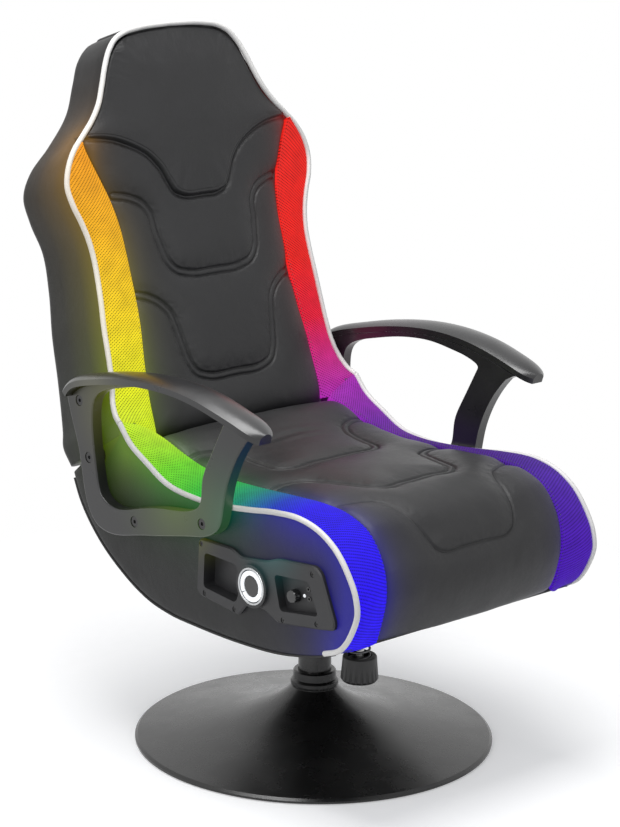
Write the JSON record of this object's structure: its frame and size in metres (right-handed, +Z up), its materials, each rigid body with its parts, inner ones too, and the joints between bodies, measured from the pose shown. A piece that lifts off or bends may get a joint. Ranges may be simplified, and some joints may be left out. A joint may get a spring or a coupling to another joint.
{
  "type": "gaming rocker chair",
  "caption": "High-back gaming chair with lit mesh side strips, white piping, loop armrests and a side control panel, on a round swivel pedestal that rocks back.",
  "frame": {"origin": "centre of the round base on the floor, on the swivel axis", "axes": "+Z up, the sitter faces -Y, +X towards the sitter's left"},
  "size_m": [0.5742, 0.7342, 1.0075],
  "materials": {
    "powder_coat": "satin",
    "black_rubber": "matte",
    "black_steel": "satin",
    "nylon": "matte",
    "zinc_steel": "satin",
    "black_screws": "satin",
    "spring_steel": "satin",
    "knob_plastic": "matte",
    "plywood": "matte",
    "boxing_leatherette": "satin",
    "leatherette": "satin",
    "glowing_mesh": "matte",
    "light_strip": "matte",
    "white_piping": "satin",
    "speaker_parts": "matte",
    "amplifier_case": "satin",
    "arm_plastic": "satin",
    "panel_plastic": "matte",
    "silver_trim": "satin",
    "white_lens": "gloss",
    "gloss_button": "gloss",
    "circuit": "matte"
  },
  "bodies": {
    "base": {"base_disc": "powder_coat", "floor_ring": "black_rubber", "base_socket": "black_steel", "swivel_bush": "nylon", "thrust_washer": "nylon", "base_collar": "powder_coat"},
    "column": {"column_tube": "powder_coat", "retaining_bolt": "zinc_steel", "tilt_bracket": "black_steel", "pivot_pin": "zinc_steel", "tilt_stops": "black_rubber"},
    "seat": {"tilt_plate": "black_steel", "plate_bolts": "zinc_steel", "tension_stud": "zinc_steel", "tension_spring": "spring_steel", "seat_floor_board": "plywood", "seat_pan": "plywood", "seat_cushion": "leatherette", "seat_side_left": "boxing_leatherette", "seat_side_right": "boxing_leatherette", "back_shell": "boxing_leatherette", "back_board": "plywood", "back_cushion": "leatherette", "head_pad": "leatherette", "back_piping": "white_piping", "woofer": "speaker_parts", "amplifier": "amplifier_case", "seat_mesh_left": "glowing_mesh", "seat_mesh_right": "glowing_mesh", "seat_lights_left": "light_strip", "seat_lights_right": "light_strip", "seat_piping_left": "white_piping", "seat_piping_right": "white_piping", "back_mesh_left": "glowing_mesh", "back_mesh_right": "glowing_mesh", "back_lights_left": "light_strip", "back_lights_right": "light_strip", "speaker_left": "speaker_parts", "speaker_right": "speaker_parts", "arm_frame_left": "arm_plastic", "arm_frame_right": "arm_plastic", "arm_pad_left": "arm_plastic", "arm_pad_right": "arm_plastic", "arm_spacers_left": "arm_plastic", "arm_spacers_right": "arm_plastic", "arm_bolts_left": "black_screws", "arm_bolts_right": "black_screws", "panel_housing": "panel_plastic", "panel_screws": "black_screws", "badge_ring": "silver_trim", "badge_base": "panel_plastic", "light_segments": "white_lens", "audio_jacks": "gloss_button", "status_lens": "white_lens", "circuit_board": "circuit"},
    "tension_knob": {"tension_knob": "knob_plastic"},
    "volume_knob": {"volume_knob": "gloss_button"},
    "power_button": {"power_button": "gloss_button"}
  },
  "joints": [
    {"name": "swivel", "type": "hinge", "parent": "base", "child": "column", "pos_m": [0, 0, 0.1], "axis": [0, 0, 1], "continuous": true},
    {"name": "rock", "type": "hinge", "parent": "column", "child": "seat", "pos_m": [0, 0, 0.192], "axis": [-1, 0, 0], "range_deg": [0, 12], "stiffness_Nm_per_rad": 160, "springref_deg": -17.19, "deforming": ["tension_spring"]},
    {"name": "tension_turn", "type": "hinge", "parent": "seat", "child": "tension_knob", "pos_m": [0, -0.094, 0.13], "axis": [0, 0, 1], "continuous": true},
    {"name": "volume_turn", "type": "hinge", "parent": "seat", "child": "volume_knob", "pos_m": [-0.228, -0.203, 0.315], "axis": [-1, 0, 0], "range_deg": [0, 300]},
    {"name": "button_press", "type": "slide", "parent": "seat", "child": "power_button", "axis": [1, 0, 0], "range_m": [0, 0.0015], "stiffness_N_per_m": 600, "springref_m": -0.001}
  ]
}
